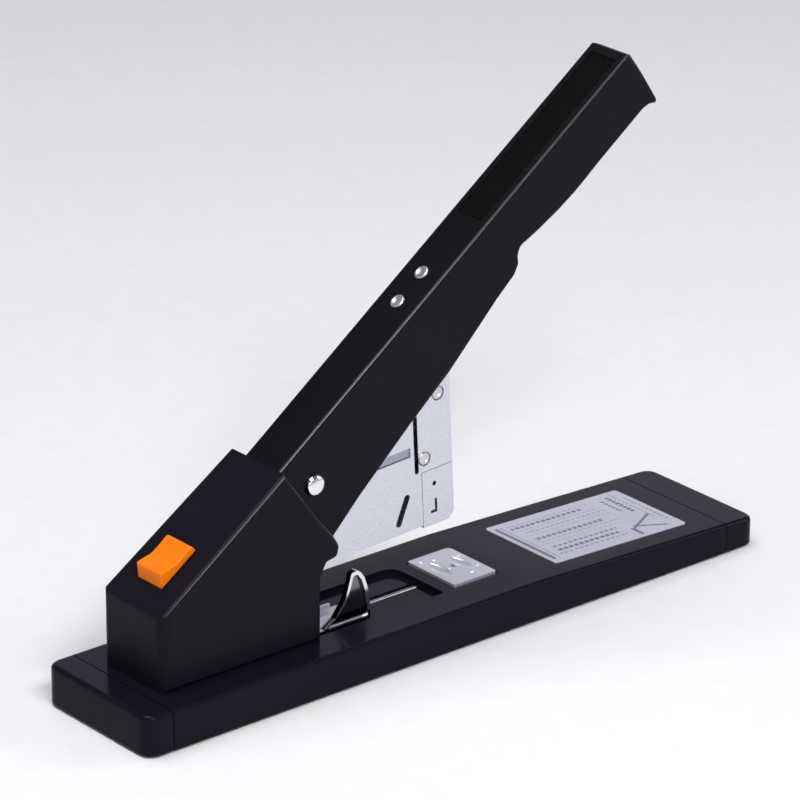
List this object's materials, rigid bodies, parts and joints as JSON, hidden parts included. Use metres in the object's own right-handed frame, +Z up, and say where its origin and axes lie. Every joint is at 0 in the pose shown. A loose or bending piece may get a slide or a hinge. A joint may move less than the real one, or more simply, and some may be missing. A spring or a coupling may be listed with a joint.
{
  "type": "long-base desk stapler",
  "caption": "Heavy-duty desk stapler: long flat base with anvil and paper stop, hinged head that carries the staples, and a long raised pressing handle.",
  "frame": {"origin": "on the table under the middle of the base's outline", "axes": "+X from the hinge end towards the open front end, +Y to the far side from the paper stop's fin, +Z up"},
  "size_m": [0.29, 0.06, 0.202],
  "materials": {
    "gloss_black": "polished moulded black plastic",
    "satin_black": "satin moulded black plastic",
    "handle_black": "satin black coating on pressed steel",
    "rubber": "matt black rubber",
    "orange": "satin orange plastic",
    "chrome": "bright chrome plating",
    "plated_steel": "bright zinc plating over pressed steel",
    "spring_wire": "oiled spring steel",
    "staple_wire": "galvanised wire",
    "label": "printed satin foil plate"
  },
  "bodies": {
    "base": {"base_shell": "gloss_black", "rear_end_cap": "gloss_black", "front_end_cap": "gloss_black", "chassis_plate": "plated_steel", "foot_rear_near": "rubber", "foot_rear_far": "rubber", "foot_front_near": "rubber", "foot_front_far": "rubber", "base_screw_rear_near": "plated_steel", "base_screw_rear_far": "plated_steel", "base_screw_front_near": "plated_steel", "base_screw_front_far": "plated_steel", "anvil_plate": "plated_steel", "label_plate": "label", "stop_rail": "chrome", "yoke": "plated_steel", "hinge_pin": "plated_steel", "lift_spring": "spring_wire", "rear_cover": "satin_black"},
    "stop": {"paper_stop": "chrome"},
    "button": {"release_button": "orange"},
    "head": {"head_plate_near": "plated_steel", "head_plate_far": "plated_steel", "head_front_plate": "plated_steel", "head_rivet_upper_near": "plated_steel", "head_rivet_upper_far": "plated_steel", "head_rivet_lower_near": "plated_steel", "head_rivet_lower_far": "plated_steel", "spring_seat": "plated_steel", "latch_pin": "plated_steel", "pivot_pin": "chrome", "return_spring": "spring_wire"},
    "driver": {"driver_blade": "plated_steel", "driver_block": "plated_steel", "driver_pin": "plated_steel"},
    "magazine": {"magazine_nose": "plated_steel", "magazine_channel": "plated_steel", "staple_strip": "staple_wire"},
    "pusher": {"pusher": "satin_black"},
    "latch": {"latch_lever": "plated_steel"},
    "handle": {"handle_shell": "handle_black", "grip_pad": "rubber", "lever_core": "plated_steel", "web_rivet_1": "plated_steel", "web_rivet_2": "plated_steel"}
  },
  "joints": [
    {"name": "head_hinge", "type": "hinge", "parent": "base", "child": "head", "pos_m": [-0.117, 0, 0.037], "axis": [0, -1, 0], "range_deg": [-9.5, 0], "stiffness_Nm_per_rad": 5, "springref_deg": 28.65, "deforming": ["lift_spring"]},
    {"name": "handle_hinge", "type": "hinge", "parent": "head", "child": "handle", "pos_m": [-0.0554, 0, 0.073], "axis": [0, -1, 0], "range_deg": [-24, 0], "stiffness_Nm_per_rad": 1.5, "springref_deg": 40.11},
    {"name": "driver_slide", "type": "slide", "parent": "head", "child": "driver", "axis": [-0.0558, 0, 0.9984], "range_m": [-0.0215, 0]},
    {"name": "magazine_slide", "type": "slide", "parent": "head", "child": "magazine", "axis": [0.9984, 0, 0.0558], "range_m": [0, 0.08]},
    {"name": "pusher_slide", "type": "slide", "parent": "magazine", "child": "pusher", "axis": [0.9984, 0, 0.0558], "range_m": [-0.03, 0], "stiffness_N_per_m": 60, "springref_m": 0.08},
    {"name": "release_slide", "type": "slide", "parent": "base", "child": "button", "axis": [-0.8216, 0, -0.57], "range_m": [0, 0.004], "stiffness_N_per_m": 600, "springref_m": -0.004},
    {"name": "latch_hinge", "type": "hinge", "parent": "head", "child": "latch", "pos_m": [-0.107, 0, 0.0435], "axis": [0, -1, 0], "range_deg": [0, 20]},
    {"name": "stop_slide", "type": "slide", "parent": "base", "child": "stop", "axis": [1, 0, 0], "range_m": [-0.008, 0.03]}
  ],
  "couplings": [
    {"joint": "driver_slide", "follows": "handle_hinge", "m_per_rad": 0.05109},
    {"joint": "latch_hinge", "follows": "release_slide", "rad_per_m": 87.2}
  ]
}
